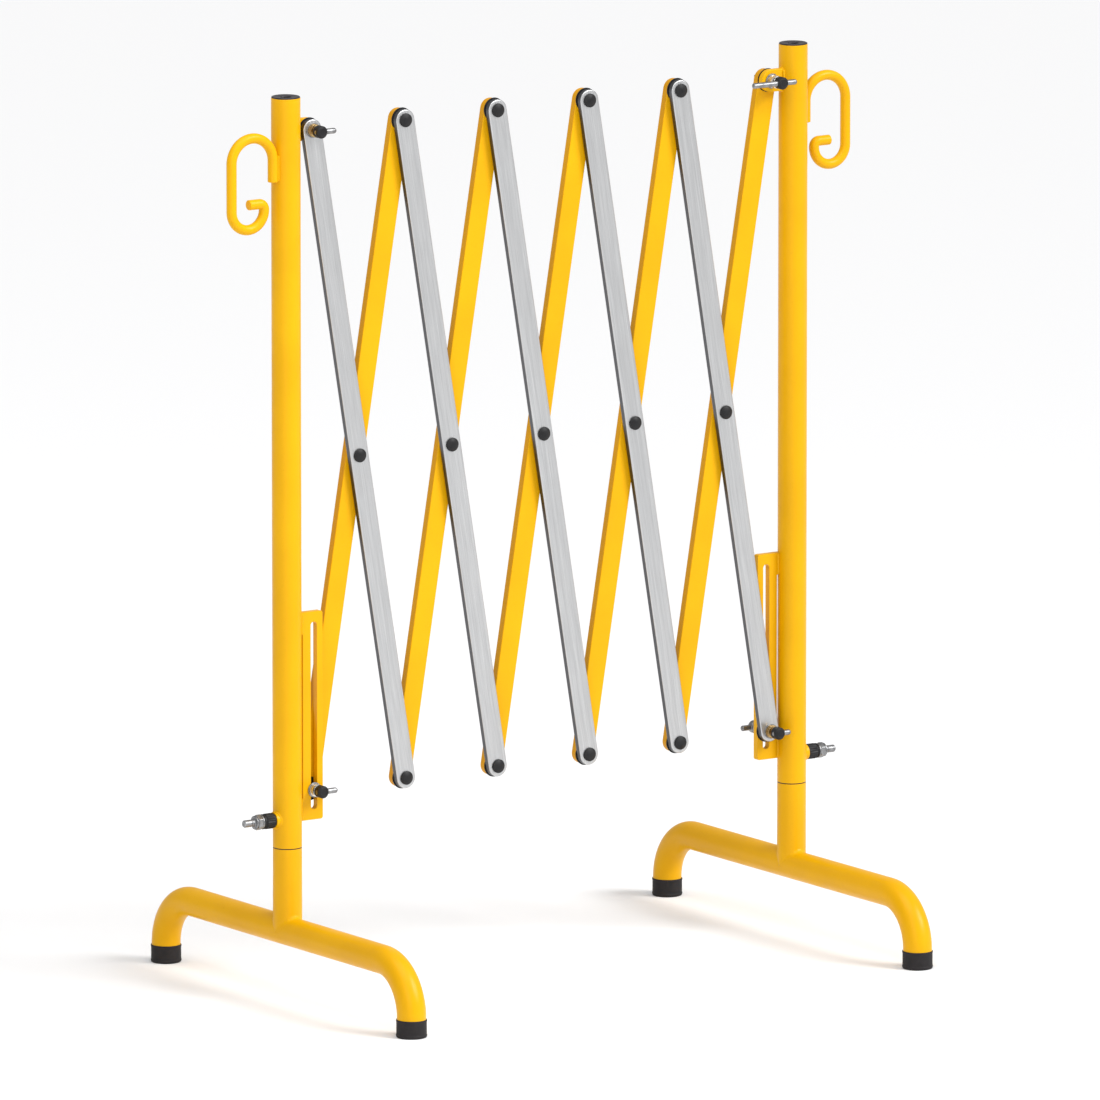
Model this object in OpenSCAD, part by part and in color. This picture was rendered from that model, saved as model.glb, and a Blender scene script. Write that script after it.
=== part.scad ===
// Expanding crowd control barrier: two posts on swivel feet joined by a scissor lattice.
// Origin on the floor, midway between the posts. X runs along the barrier, the front is -Y.

/* [Barrier] */
// Overall height, floor to the top of the post plugs
overall_h = 1050; // [900:5:1300]
// Lattice bar length, pivot to pivot
bar_l = 777; // [600:1:800]
// Angle of the bars from upright as the barrier stands
open_a = 9.4; // [4:0.1:40]
// Drop from the top of the tube to the top pivots
pivot_drop = 40; // [30:1:60]
// Post axis to the pivot line
pivot_off = 33.5; // [32:0.5:45]
// How far the plane between silver and yellow bars sits behind the post axes
plane_y = 3.5; // [0:0.5:5]

/* [Posts] */
// Tube outer diameter
post_d = 33.7; // [28:0.1:34]
// Tube wall
post_wall = 2.6; // [1.8:0.1:3.2]
// Height of the swivel joint between post and foot
seam_z = 178; // [160:1:195]
// Chamfer at the swivel joint
seam_bevel = 0.8; // [0.3:0.1:1.5]
// Plug flange thickness
plug_t = 1.5; // [1:0.1:3]
// Plug depth inside the tube
plug_depth = 14; // [8:1:25]
// Hole through the plug
plug_bore_d = 12; // [8:0.5:14]

/* [Feet] */
// Foot length between the centres of its two legs
foot_l = 516; // [400:2:600]
// Height of the foot tube's axis
foot_z = 80; // [74:1:95]
// Foot tube outer diameter
foot_d = 33.7; // [28:0.1:40]
// Bend radius at the tube's centre line
foot_bend = 58; // [40:1:58]
// Rubber cap height
cap_h = 21; // [14:0.5:22]
// Rubber under the tube end
cap_base = 4; // [3:0.5:8]
// Rubber wall round the tube
cap_wall = 1; // [0.8:0.1:3]
// Swivel spigot length inside the post
spigot_up = 60; // [50:1:100]
// Swivel spigot length inside the foot stem
spigot_down = 40; // [20:1:60]
// Hole through the spigot
spigot_bore_d = 16; // [10:0.5:18]

/* [Lattice] */
// Bar width
bar_w = 25; // [18:0.5:27]
// Silver bar thickness
silver_t = 8; // [4:0.5:10]
// Yellow bar thickness
yellow_t = 10; // [4:0.5:12]
// Pivot washer thickness
washer_t = 1; // [0.6:0.1:2]
// Washer diameter at the ends of the bars
washer_d = 27.5; // [22:0.5:29]
// Washer diameter where the bars cross
mid_washer_d = 22; // [16:0.5:24]
// Pivot spindle diameter
spindle_d = 8; // [6:0.5:8]
// End cap diameter
dome_d = 16; // [13:0.5:18]
// End cap height
dome_h = 4; // [3:0.1:4.2]
// Straight rim of the end cap
dome_rim = 1.6; // [0.8:0.1:2]
// Spindle length inside each end cap
dome_grip = 2.2; // [1.5:0.1:2.4]

/* [Lugs and guides] */
// Plate thickness
guide_t = 8; // [6:0.5:10]
// Radius of the top lug round its pivot
lug_r = 13; // [11:0.5:16]
// Gap between guide plate and post
guide_gap = 1.5; // [0.8:0.1:3]
// Guide plate beyond the slot line
guide_out = 12; // [10:0.5:18]
// Slot length, end to end
slot_l = 219; // [100:1:240]
// Slot end below the lowest position of its screw
slot_under = 12.4; // [8:0.2:20]
// Plate left above and below the slot
slot_edge = 12; // [8:0.5:20]
// Length of each weld between guide and post
weld_l = 26; // [15:1:40]

/* [Hooks] */
// Hook bar diameter
hook_d = 11.8; // [8:0.2:13]
// Hook width between bar centres
hook_w = 56; // [48:1:66]
// Hook height overall
hook_h = 117; // [105:1:130]
// Drop from the top of the tube to the hook
hook_drop = 36; // [30:1:60]
// Length of the straight leg on the post
hook_leg = 25; // [15:1:35]
// Radius of the lower bend
hook_low_r = 22; // [19:0.5:24]
// Radius of the curl at the tip
hook_curl_r = 6.6; // [6.5:0.1:8]
// Straight tip of the curl
hook_tip = 15; // [8:0.5:20]
// Hook plane's offset from the post axis
hook_off = 6.3; // [0:0.1:8]

/* [Clamp screws] */
// Screw diameter
screw_d = 8; // [6:0.5:8]
// Screw washer diameter
screw_washer_d = 17.5; // [15:0.5:20]
// Screw washer thickness
screw_washer_t = 1.5; // [1:0.1:2]
// Collar diameter
collar_d = 15; // [12:0.5:17]
// Collar length of the two left screws and the lower right one
collar_l = 9; // [8:0.5:14]
// Collar length of the screw with the sliding bar
bar_collar_l = 13; // [13:0.5:18]
// Head diameter
head_d = 14.5; // [12:0.5:18]
// Head length
head_l = 11; // [9:0.5:16]
// Lever pin diameter
lever_d = 6.6; // [4:0.2:7]
// Lever pin reach from the screw's axis
lever_reach = 21; // [17:0.5:22]
// Long reach of the sliding bar
bar_reach = 40; // [25:1:42]
// Lower right screw's front lever reach
short_reach = 17; // [12:0.5:21]
// Reach of the lever on the lower right rear nut
rear_reach = 19; // [14:0.5:21]
// Rear nut length on the lower right screw
rear_nut_l = 18; // [17.5:0.5:22]
// Lever's distance from the free end of that nut
rear_lever_in = 4.5; // [4:0.1:5]
// Hex nut width across flats
nut_w = 13; // [11:0.5:17]
// Hex nut thickness
nut_t = 6.5; // [5:0.1:8]

/* [Foot lock plungers] */
// Height above the swivel joint
lock_up = 33; // [25:0.5:40]
// Plunger pin diameter
lock_pin_d = 7; // [5:0.2:8]
// Pull of the plunger
lock_pull = 5; // [3:0.5:6]
// Weld boss diameter
boss_d = 19; // [17:0.5:22]
// Weld boss height above the tube
boss_h = 2.6; // [1.5:0.1:6]
// Sleeve diameter
sleeve_d = 18; // [16:0.5:22]
// Sleeve length
sleeve_l = 16; // [15:0.5:22]
// Sleeve end wall
sleeve_end = 2; // [1.5:0.1:3]
// Spring chamber diameter
chamber_d = 12.4; // [12:0.1:13]
// Pin collar inside the spring chamber
lock_collar_d = 11.8; // [10:0.1:11.9]
// Pin collar length
lock_collar_t = 2; // [1.5:0.1:3]
// Hexagon width across flats on the plunger
hex_w = 18; // [15:0.5:22]
// Hexagon thickness on the plunger
hex_t = 8; // [5:0.5:10]
// Flange diameter next to the hexagon
flange_d = 16; // [12:0.5:18]
// Flange thickness
flange_t = 2.2; // [1:0.1:4]
// Pull stud diameter
stud_d = 9.5; // [6:0.1:11]
// Pull stud length
stud_l = 14.5; // [10:0.5:25]
// Spring wire diameter
wire_d = 1; // [0.6:0.1:1.2]
// Depth of the groove in the spigot
groove_depth = 3; // [2:0.1:3.5]
// Turn of the foot
foot_turn = 90; // [45:5:90]

/* [Hidden] */
fit = 0.05;           // radial clearance of fixed and turning fits
slide_gap = 0.3;      // clearance of a screw in its slot and of the pin in its groove
weld_gap = 0.02;      // gap left where a coped edge meets a tube, and between stacked fasteners
dome_rings = 6;       // cone rings that make an end cap's dome
over = 1;             // how far a cutter runs past the face that it cuts
bays = 5;
$fn = 64;

post_r = post_d / 2;
post_in_r = post_r - post_wall;
foot_r = foot_d / 2;
hook_r = hook_d / 2;
pitch = bar_l * sin(open_a);
rise = bar_l * cos(open_a);
post_x = pivot_off + bays * pitch / 2;
tube_top_z = overall_h - plug_t;
top_z = tube_top_z - pivot_drop;
low_z = top_z - rise;
mid_z = top_z - rise / 2;

// Layers along Y, front to back: silver bars, washers, yellow bars. Each lug and guide lies in
// the layer of the bars that it doesn't carry, against the washer.
silver_b = plane_y - washer_t / 2;
silver_f = silver_b - silver_t;
yellow_f = plane_y + washer_t / 2;
yellow_b = yellow_f + yellow_t;
front_plate = [silver_b - guide_t, silver_b];
back_plate = [yellow_f, yellow_f + guide_t];

slot_w = screw_d + 2 * slide_gap;
slot_z0 = top_z - bar_l - slot_under;
slot_z1 = slot_z0 + slot_l;
guide_z0 = slot_z0 - slot_edge;
guide_z1 = slot_z1 + slot_edge;
guide_x0 = post_r + guide_gap;
guide_x1 = pivot_off + guide_out;

hook_x = sqrt(pow(post_r + hook_r + fit, 2) - pow(hook_off, 2));
hook_top_r = hook_w / 2;
hook_arch_z = tube_top_z - hook_drop - hook_r - hook_top_r;
hook_low_z = tube_top_z - hook_drop - hook_h + hook_r + hook_low_r;
hook_out_x = hook_x + hook_w;

lock_z = seam_z + lock_up;
spigot_r = post_in_r - 2 * fit;
lock_pin_r = lock_pin_d / 2;
boss_x = post_r + boss_h;
sleeve_x = boss_x + sleeve_l;
chamber_x = boss_x + over;
spring_x0 = chamber_x + lock_collar_t;
spring_x1 = sleeve_x - sleeve_end;
spring_r = (chamber_d + lock_pin_d) / 4;
spring_turns = 4;

YELLOW = [1.0, 0.78, 0.02];
SILVER = [0.78, 0.79, 0.8];
STEEL = [0.6, 0.61, 0.62];
BLACK = [0.12, 0.12, 0.13];

// Column of pivots k, counted from 0 at the left post
function column_x(k) = -post_x + pivot_off + k * pitch;

// Places: a post's own frame has its origin on the floor under the post and +X inwards
module at_left() { translate([-post_x, 0, 0]) children(); }
module at_right() { translate([post_x, 0, 0]) mirror([1, 0, 0]) children(); }

// A flat outline drawn in X and Z, made into a plate from y0 to y1
module plate(y0, y1) { translate([0, y1, 0]) rotate([90, 0, 0]) linear_extrude(y1 - y0) children(); }
module rod_y(r, y0, y1) { translate([0, y1, 0]) rotate([90, 0, 0]) cylinder(r = r, h = y1 - y0); }
module rod_x(r, x0, x1) { translate([x0, 0, 0]) rotate([0, 90, 0]) cylinder(r = r, h = x1 - x0); }
module ring_y(ro, ri, y0, y1) {
    difference() {
        rod_y(ro, y0, y1);
        rod_y(ri, y0 - over, y1 + over);
    }
}

// Posts
module post_tube() {
    color(YELLOW) difference() {
        union() {
            translate([0, 0, seam_z]) cylinder(r1 = post_r - seam_bevel, r2 = post_r, h = seam_bevel);
            translate([0, 0, seam_z + seam_bevel]) cylinder(r = post_r, h = tube_top_z - seam_z - seam_bevel);
            translate([0, 0, lock_z]) rod_x(boss_d / 2, -boss_x, 0);
        }
        translate([0, 0, seam_z - over]) cylinder(r = post_in_r, h = tube_top_z - seam_z + 2 * over);
        translate([0, 0, lock_z]) rod_x(lock_pin_r + fit, -boss_x - over, 0);
    }
}

// Lugs and guides fill a layer, given as its front and back
module top_lug(layer) {
    color(YELLOW) difference() {
        plate(layer[0], layer[1]) union() {
            translate([pivot_off, top_z]) circle(r = lug_r);
            translate([0, top_z - lug_r]) square([pivot_off, 2 * lug_r]);
        }
        cylinder(r = post_r + weld_gap, h = overall_h);
        translate([pivot_off, 0, top_z]) rod_y(screw_d / 2 + fit, layer[0] - over, layer[1] + over);
    }
}

module slot_guide(layer) {
    color(YELLOW) difference() {
        union() {
            translate([guide_x0, layer[0], guide_z0])
                cube([guide_x1 - guide_x0, guide_t, guide_z1 - guide_z0]);
            for (z = [guide_z0, guide_z1 - weld_l])
                translate([0, layer[0], z]) cube([guide_x0 + over, guide_t, weld_l]);
        }
        cylinder(r = post_r + weld_gap, h = overall_h);
        translate([pivot_off - slot_w / 2, layer[0] - over, slot_z0 + slot_w / 2])
            cube([slot_w, guide_t + 2 * over, slot_l - slot_w]);
        for (z = [slot_z0 + slot_w / 2, slot_z1 - slot_w / 2])
            translate([pivot_off, 0, z]) rod_y(slot_w / 2, layer[0] - over, layer[1] + over);
    }
}

// Round bar bent in the X-Z plane: radius r, from angle a0 through a1
module bend(r, a0, a1, bar_r) {
    rotate([90, 0, 0]) rotate([0, 0, a0]) rotate_extrude(angle = a1 - a0) translate([r, 0]) circle(r = bar_r);
}

module hook(y) {
    curl_x = -hook_out_x + 2 * hook_low_r - hook_curl_r;
    color(YELLOW) translate([0, y, 0]) union() {
        translate([-hook_x, 0, hook_arch_z - hook_leg]) cylinder(r = hook_r, h = hook_leg);
        translate([-hook_x - hook_top_r, 0, hook_arch_z]) bend(hook_top_r, 0, 180, hook_r);
        translate([-hook_out_x, 0, hook_low_z]) cylinder(r = hook_r, h = hook_arch_z - hook_low_z);
        translate([-hook_out_x + hook_low_r, 0, hook_low_z]) bend(hook_low_r, 180, 360, hook_r);
        translate([curl_x, 0, hook_low_z]) bend(hook_curl_r, 0, 90, hook_r);
        translate([0, 0, hook_low_z + hook_curl_r]) rod_x(hook_r, curl_x - hook_tip, curl_x);
    }
}

module post_plug() {
    color(BLACK) difference() {
        union() {
            translate([0, 0, tube_top_z]) cylinder(r = post_r - 0.3, h = plug_t);
            translate([0, 0, tube_top_z - plug_depth]) cylinder(r = post_in_r - fit, h = plug_depth);
        }
        translate([0, 0, tube_top_z - plug_depth - over])
            cylinder(d = plug_bore_d, h = plug_depth + plug_t + 2 * over);
    }
}

// Foot lock plungers
module plunger_sleeve() {
    color(BLACK) translate([0, 0, lock_z]) difference() {
        rod_x(sleeve_d / 2, -sleeve_x, -boss_x);
        rod_x(chamber_d / 2, -spring_x1, -boss_x + over);
        rod_x(lock_pin_r + fit, -sleeve_x - over, -boss_x);
    }
}

module plunger_spring() {
    step = (spring_x1 - spring_x0 - wire_d) / (spring_turns - 1);
    color(STEEL) translate([0, 0, lock_z])
        for (i = [0 : spring_turns - 1])
            translate([-spring_x0 - wire_d / 2 - i * step, 0, 0]) rotate([0, 90, 0])
                rotate_extrude() translate([spring_r, 0]) circle(d = wire_d, $fn = 24);
}

module plunger_pin() {
    tip_x = spigot_r - groove_depth + slide_gap;
    hex_x = sleeve_x + hex_t;
    flange_x = hex_x + flange_t;
    color(STEEL) translate([0, 0, lock_z]) union() {
        rod_x(lock_pin_r, -hex_x, -tip_x);
        rod_x(lock_collar_d / 2, -chamber_x - lock_collar_t, -chamber_x);
        translate([-hex_x, 0, 0]) rotate([0, 90, 0]) cylinder(d = hex_w / cos(30), h = hex_t, $fn = 6);
        rod_x(flange_d / 2, -flange_x, -hex_x);
        rod_x(stud_d / 2, -flange_x - stud_l, -flange_x);
    }
}

// Feet
module foot_stem() {
    color(YELLOW) difference() {
        union() {
            translate([0, 0, foot_z]) cylinder(r = post_r, h = seam_z - seam_bevel - foot_z);
            translate([0, 0, seam_z - seam_bevel])
                cylinder(r1 = post_r, r2 = post_r - seam_bevel, h = seam_bevel);
            translate([0, 0, seam_z - spigot_down]) cylinder(r = spigot_r, h = spigot_down + spigot_up);
        }
        cylinder(r = post_in_r, h = seam_z - spigot_down);
        cylinder(d = spigot_bore_d, h = seam_z + spigot_up + over);
        translate([0, 0, foot_z]) rod_y(foot_r + weld_gap, -post_d, post_d);
        lock_groove();
    }
}

// The plunger's tip runs in this groove, whose ends stop the foot at each end of its turn
module lock_groove() {
    floor_r = spigot_r - groove_depth;
    half_a = asin((lock_pin_r + slide_gap) / floor_r);
    translate([0, 0, lock_z]) rotate([0, 0, 180 - foot_turn - half_a])
        rotate_extrude(angle = foot_turn + 2 * half_a)
            translate([floor_r, -lock_pin_r - slide_gap])
                square([post_wall + groove_depth + over, lock_pin_d + 2 * slide_gap]);
}

module foot_solid(r) {
    straight = foot_l / 2 - foot_bend;
    translate([0, 0, foot_z]) rod_y(r, -straight, straight);
    for (s = [-1, 1]) {
        translate([0, s * straight, foot_z - foot_bend]) rotate([0, 0, s * 90]) bend(foot_bend, 0, 90, r);
        translate([0, s * foot_l / 2, cap_base]) cylinder(r = r, h = foot_z - foot_bend - cap_base);
    }
}

module foot_bar() {
    color(YELLOW) difference() {
        foot_solid(foot_r);
        foot_solid(foot_r - post_wall);
        for (s = [-1, 1])
            translate([0, s * foot_l / 2, cap_base - over]) cylinder(r = foot_r - post_wall, h = 2 * over);
    }
}

module foot_caps() {
    color(BLACK) for (s = [-1, 1]) translate([0, s * foot_l / 2, 0]) difference() {
        cylinder(r = foot_r + cap_wall, h = cap_h);
        translate([0, 0, cap_base]) cylinder(r = foot_r + fit, h = cap_h);
    }
}

// Lattice
module bar(y0, y1, tilt) {
    rotate([0, tilt, 0]) plate(y0, y1) difference() {
        union() {
            translate([-bar_w / 2, -bar_l]) square([bar_w, bar_l]);
            for (z = [0, -bar_l]) translate([0, z]) circle(d = bar_w);
        }
        for (z = [0, -bar_l / 2, -bar_l]) translate([0, z]) circle(d = spindle_d + 2 * fit);
    }
}
module silver_bar(k) {
    color(SILVER) translate([column_x(k - 1), 0, top_z]) bar(silver_f, silver_b, -open_a);
}
module yellow_bar(k) {
    color(YELLOW) translate([column_x(k), 0, top_z]) bar(yellow_f, yellow_b, open_a);
}

// The plain pivots that belong to silver bar k: the end ones on a post have clamp screws instead
function mid_pivot(k) = [[column_x(k - 0.5), mid_z]];
function end_pivots(k) = concat(
    k > 1 ? [[column_x(k - 1), top_z]] : [],
    k < bays ? [[column_x(k), low_z]] : []);

module at_each(points) { for (p = points) translate([p[0], 0, p[1]]) children(); }
module at_pivots(k) { at_each(concat(mid_pivot(k), end_pivots(k))) children(); }

module spindles(k) {
    color(STEEL) at_pivots(k) rod_y(spindle_d / 2, silver_f - dome_grip, yellow_b + dome_grip);
}

module washers(k) {
    color(BLACK) {
        at_each(mid_pivot(k)) ring_y(mid_washer_d / 2, spindle_d / 2 + fit, silver_b, yellow_f);
        at_each(end_pivots(k)) ring_y(washer_d / 2, spindle_d / 2 + fit, silver_b, yellow_f);
        if (k == 1) at_each([[column_x(0), top_z]]) screw_spacer();
        if (k == bays) at_each([[column_x(bays), low_z]]) screw_spacer();
    }
}
module screw_spacer() { ring_y(washer_d / 2, screw_d / 2 + fit, silver_b, yellow_f); }

// Cap with a domed face, standing on y = 0 and facing +Y
module end_cap() {
    crown = dome_h - dome_rim;
    ball_r = (pow(dome_d / 2, 2) + pow(crown, 2)) / (2 * crown);
    span = asin(dome_d / 2 / ball_r);
    dome = [for (i = [0:dome_rings]) let (a = span * (1 - i / dome_rings))
        [ball_r * sin(a), dome_h - ball_r + ball_r * cos(a)]];
    difference() {
        rotate([-90, 0, 0])
            rotate_extrude() polygon(concat([[0, 0], [dome_d / 2, 0]], dome));
        rod_y(spindle_d / 2 + fit, -over, dome_grip + fit);
    }
}
module end_caps(k) {
    color(BLACK) at_pivots(k) {
        translate([0, silver_f, 0]) mirror([0, 1, 0]) end_cap();
        translate([0, yellow_b, 0]) end_cap();
    }
}

// Clamp screws, each in its own frame with +X along its lever. The screw is one turned piece
// with its collar, between a washer on the front face and a nut at the back.
module screw_set(front, back, collar) {
    collar_b = front - screw_washer_t;
    color(STEEL) {
        rod_y(screw_d / 2, collar_b - fit, back + screw_washer_t + nut_t);
        rod_y(collar_d / 2, collar_b - collar, collar_b);
        ring_y(screw_washer_d / 2, screw_d / 2 + fit, collar_b + weld_gap, front);
        ring_y(screw_washer_d / 2, screw_d / 2 + fit, back, back + screw_washer_t - weld_gap);
    }
}
module hex_nut(y) {
    color(STEEL) translate([0, y + nut_t, 0]) rotate([90, 0, 0]) difference() {
        cylinder(d = nut_w / cos(30), h = nut_t, $fn = 6);
        translate([0, 0, -over]) cylinder(r = screw_d / 2 + fit, h = nut_t + 2 * over);
    }
}
function head_y(front, collar) = front - screw_washer_t - collar;
function lever_y(front, collar) = head_y(front, collar) - head_l / 2;
module screw_head(front, collar) {
    y = head_y(front, collar);
    color(BLACK) difference() {
        union() {
            rod_y(head_d / 2, y - head_l + 2, y);
            translate([0, y - head_l + 2, 0]) rotate([90, 0, 0]) cylinder(d1 = head_d, d2 = head_d - 4, h = 2);
        }
        translate([0, lever_y(front, collar), 0]) rod_x(lever_d / 2 + fit, -head_d, head_d);
    }
}
module lever(y, x0, x1) { color(STEEL) translate([0, y, 0]) rod_x(lever_d / 2, x0, x1); }

module at_left_top() { translate([column_x(0), 0, top_z]) children(); }
module at_left_slot() { translate([column_x(0), 0, low_z]) children(); }
module at_right_top() { translate([column_x(bays), 0, top_z]) children(); }
module at_right_slot() { translate([column_x(bays), 0, low_z]) children(); }

module left_top_screw() {
    at_left_top() {
        screw_set(silver_f, back_plate[1], collar_l);
        hex_nut(back_plate[1] + screw_washer_t);
    }
}
module left_top_head() { at_left_top() screw_head(silver_f, collar_l); }
module left_top_lever() {
    at_left_top() lever(lever_y(silver_f, collar_l), -head_d / 2, lever_reach);
}

module left_slot_screw() {
    at_left_slot() {
        screw_set(front_plate[0], yellow_b, collar_l);
        color(BLACK) screw_spacer();
        hex_nut(yellow_b + screw_washer_t);
    }
}
module left_slot_head() { at_left_slot() screw_head(front_plate[0], collar_l); }
module left_slot_lever() {
    at_left_slot() lever(lever_y(front_plate[0], collar_l), -head_d / 2, lever_reach);
}

module right_top_screw() {
    at_right_top() {
        screw_set(front_plate[0], yellow_b, bar_collar_l);
        color(BLACK) screw_spacer();
        hex_nut(yellow_b + screw_washer_t);
    }
}
module right_top_head() { at_right_top() screw_head(front_plate[0], bar_collar_l); }
module right_top_bar() {
    at_right_top() lever(lever_y(front_plate[0], bar_collar_l), -bar_reach, lever_reach);
}

// The lower right screw has a long round nut behind the guide, with a lever of its own
module right_slot_screw() {
    nut_y = back_plate[1] + screw_washer_t;
    at_right_slot() {
        screw_set(silver_f, back_plate[1], collar_l);
        color(STEEL) difference() {
            rod_y(collar_d / 2, nut_y, nut_y + rear_nut_l);
            rod_y(screw_d / 2 + fit, nut_y - over, nut_y + nut_t + fit);
            translate([0, nut_y + rear_nut_l - rear_lever_in, 0])
                rod_x(lever_d / 2 + fit, -collar_d, collar_d);
        }
    }
}
module right_slot_head() { at_right_slot() screw_head(silver_f, collar_l); }
module right_slot_levers() {
    rear_y = back_plate[1] + screw_washer_t + rear_nut_l - rear_lever_in;
    at_right_slot() {
        lever(lever_y(silver_f, collar_l), -head_d / 2, short_reach);
        lever(rear_y, -rear_reach, collar_d / 2);
    }
}

at_left() post_tube();  // left_post_tube
at_left() top_lug(back_plate);  // left_top_lug
at_left() slot_guide(front_plate);  // left_slot_guide
at_left() hook(-hook_off);  // left_hook
at_left() post_plug();  // left_post_plug
at_left() plunger_sleeve();  // left_plunger_sleeve
at_left() plunger_spring();  // left_plunger_spring
at_left() plunger_pin();  // left_plunger_pin
at_left() foot_stem();  // left_foot_stem
at_left() foot_bar();  // left_foot_bar
at_left() foot_caps();  // left_foot_caps
at_right() post_tube();  // right_post_tube
at_right() top_lug(front_plate);  // right_top_lug
at_right() slot_guide(back_plate);  // right_slot_guide
at_right() hook(hook_off);  // right_hook
at_right() post_plug();  // right_post_plug
at_right() plunger_sleeve();  // right_plunger_sleeve
at_right() plunger_spring();  // right_plunger_spring
at_right() plunger_pin();  // right_plunger_pin
at_right() foot_stem();  // right_foot_stem
at_right() foot_bar();  // right_foot_bar
at_right() foot_caps();  // right_foot_caps
silver_bar(1);  // silver_bar_1
silver_bar(2);  // silver_bar_2
silver_bar(3);  // silver_bar_3
silver_bar(4);  // silver_bar_4
silver_bar(5);  // silver_bar_5
yellow_bar(1);  // yellow_bar_1
yellow_bar(2);  // yellow_bar_2
yellow_bar(3);  // yellow_bar_3
yellow_bar(4);  // yellow_bar_4
yellow_bar(5);  // yellow_bar_5
spindles(1);  // spindles_1
spindles(2);  // spindles_2
spindles(3);  // spindles_3
spindles(4);  // spindles_4
spindles(5);  // spindles_5
washers(1);  // washers_1
washers(2);  // washers_2
washers(3);  // washers_3
washers(4);  // washers_4
washers(5);  // washers_5
end_caps(1);  // end_caps_1
end_caps(2);  // end_caps_2
end_caps(3);  // end_caps_3
end_caps(4);  // end_caps_4
end_caps(5);  // end_caps_5
left_top_screw();
left_top_head();
left_top_lever();
left_slot_screw();
left_slot_head();
left_slot_lever();
right_top_screw();
right_top_head();
right_top_bar();
right_slot_screw();
right_slot_head();
right_slot_levers();
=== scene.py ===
import math

import bmesh
import bpy
from mathutils import Matrix, Vector


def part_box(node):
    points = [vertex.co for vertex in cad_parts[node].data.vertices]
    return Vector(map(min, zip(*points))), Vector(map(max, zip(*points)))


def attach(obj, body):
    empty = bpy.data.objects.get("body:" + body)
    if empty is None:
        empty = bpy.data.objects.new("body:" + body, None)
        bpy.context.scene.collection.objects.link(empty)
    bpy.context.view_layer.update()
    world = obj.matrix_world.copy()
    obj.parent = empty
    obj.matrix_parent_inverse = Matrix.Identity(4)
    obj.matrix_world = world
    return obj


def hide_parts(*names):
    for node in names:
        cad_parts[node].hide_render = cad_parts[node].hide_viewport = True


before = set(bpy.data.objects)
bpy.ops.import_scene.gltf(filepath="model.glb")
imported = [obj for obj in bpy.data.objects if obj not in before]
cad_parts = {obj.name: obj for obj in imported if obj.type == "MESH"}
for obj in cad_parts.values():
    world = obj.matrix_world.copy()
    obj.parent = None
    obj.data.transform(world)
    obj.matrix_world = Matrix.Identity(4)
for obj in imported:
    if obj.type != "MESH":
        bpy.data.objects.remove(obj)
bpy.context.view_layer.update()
print("frame loaded:", len(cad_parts), "nodes")

# Everything below is drawn in millimetres and made metres when a piece is finished


def boxOf(node):
    low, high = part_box(node)
    return low * 1000, high * 1000


# Places, read from the frame
barWidth = 25
barCount = 5
silverBoxes = [boxOf(f"silver_bar_{k}") for k in range(1, barCount + 1)]
yellowLow, yellowHigh = boxOf("yellow_bar_1")
topZ = silverBoxes[0][1].z - barWidth / 2
lowZ = silverBoxes[0][0].z + barWidth / 2
midZ = (topZ + lowZ) / 2
columns = [silverBoxes[0][0].x + barWidth / 2] + [high.x - barWidth / 2 for low, high in silverBoxes]
barTilt = math.atan2(columns[1] - columns[0], topZ - lowZ)
barLength = math.hypot(columns[1] - columns[0], topZ - lowZ)
silverFront, silverBack = silverBoxes[0][0].y, silverBoxes[0][1].y
yellowFront, yellowBack = yellowLow.y, yellowHigh.y
plateLayers = {}
for plate in ("left_top_lug", "left_slot_guide", "right_top_lug", "right_slot_guide"):
    plateLow, plateHigh = boxOf(plate)
    plateLayers[plate] = (plateLow.y, plateHigh.y)
tubeTopZ = boxOf("left_post_tube")[1].z
seamZ = boxOf("left_post_tube")[0].z
plugLow, plugHigh = boxOf("left_post_plug")
postX = -(plugLow.x + plugHigh.x) / 2
footHigh = boxOf("left_foot_bar")[1]
lockLow, lockHigh = boxOf("left_plunger_pin")
lockZ = (lockLow.z + lockHigh.z) / 2
pivotOff = columns[0] + postX
runningGap = 0.03  # keeps faces that turn on each other from touching

# A post's own frame stands on the floor under the post, with +X towards the lattice
postPlaces = {
    "left": Matrix.Translation((-postX, 0, 0)),
    "right": Matrix.Translation((postX, 0, 0)) @ Matrix.Scale(-1, 4, (1, 0, 0)),
}


# Materials: every one has grain, colour drift and a roughness that varies
def newMaterial(name, sockets):
    material = bpy.data.materials.new(name)
    material.use_nodes = True
    shader = material.node_tree.nodes["Principled BSDF"]
    for socket, value in sockets.items():
        shader.inputs[socket].default_value = value
    return material, material.node_tree.nodes, material.node_tree.links, shader


def grainCoords(nodes, links, size=(1, 1, 1), turn=(0, 0, 0)):
    coords = nodes.new("ShaderNodeTexCoord")
    mapping = nodes.new("ShaderNodeMapping")
    mapping.vector_type = "TEXTURE"
    mapping.inputs["Rotation"].default_value = turn
    mapping.inputs["Scale"].default_value = size
    links.new(coords.outputs["Object"], mapping.inputs["Vector"])
    return mapping.outputs["Vector"]


def noiseOn(nodes, links, coords, scale, detail=2, rough=0.5):
    noise = nodes.new("ShaderNodeTexNoise")
    noise.inputs["Scale"].default_value = scale
    noise.inputs["Detail"].default_value = detail
    noise.inputs["Roughness"].default_value = rough
    links.new(coords, noise.inputs["Vector"])
    return noise.outputs["Fac"]


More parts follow.
